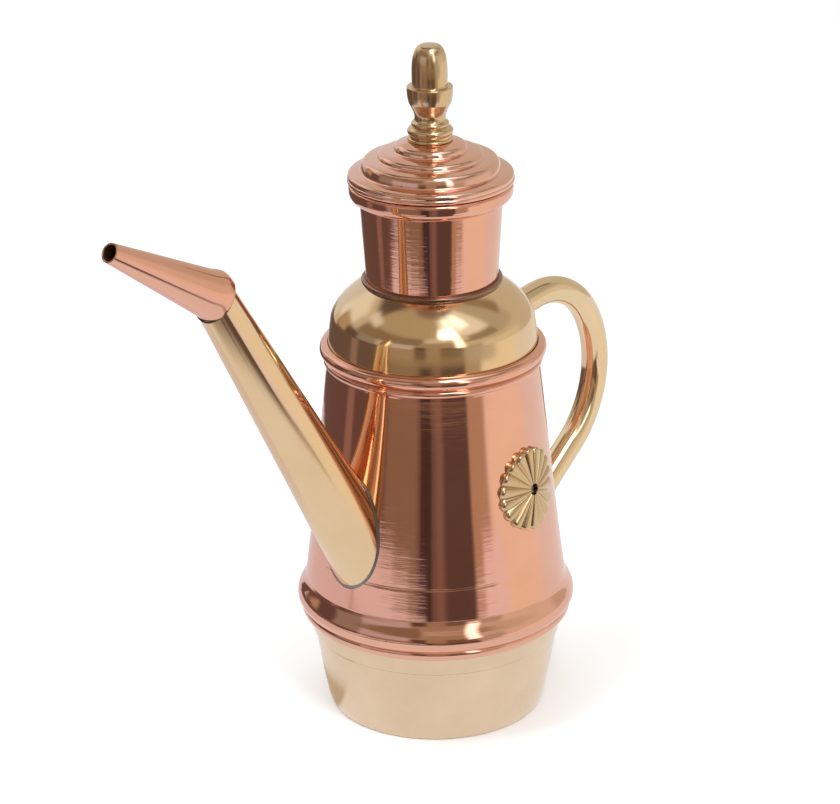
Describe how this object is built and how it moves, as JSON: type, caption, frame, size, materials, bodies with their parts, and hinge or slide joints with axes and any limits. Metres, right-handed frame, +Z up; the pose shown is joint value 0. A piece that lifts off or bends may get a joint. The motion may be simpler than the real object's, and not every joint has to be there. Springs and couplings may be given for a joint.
{
  "type": "copper and brass oil can",
  "caption": "Tall conical oil can in spun copper and brass with a long bent spout, hollow loop handle, side rosettes and a stepped lift-off lid with an acorn knob.",
  "frame": {"origin": "centre of the foot's flat underside, on the surface the can stands on", "axes": "+Z up along the can's axis, +X towards the spout, handle at -X, rosettes on the +Y and -Y sides"},
  "size_m": [0.2732, 0.1138, 0.28],
  "materials": {
    "copper": "polished spun copper",
    "brass": "polished brass",
    "solder": "dull tin solder",
    "steel": "plain steel"
  },
  "bodies": {
    "can": {"foot_cup": "brass", "foot_solder": "solder", "body_shell": "copper", "shoulder_dome": "brass", "shoulder_solder": "solder", "neck_collar": "copper", "neck_solder": "solder", "spout_tube": "brass", "spout_root_solder": "solder", "spout_tip": "copper", "tip_solder": "solder", "handle_tube": "brass", "handle_upper_solder": "solder", "handle_lower_solder": "solder", "rosette_left": "brass", "rosette_right": "brass", "rosette_left_solder": "solder", "rosette_right_solder": "solder"},
    "lid": {"lid_cap": "copper", "lid_rim_wire": "steel", "lid_sleeve": "copper", "lid_sleeve_solder": "solder", "lid_knob": "brass", "knob_washer": "steel", "knob_screw": "steel"}
  },
  "joints": [
    {"name": "lid_lift", "type": "slide", "parent": "can", "child": "lid", "axis": [0, 0, 1], "range_m": [0, 0.08]}
  ]
}
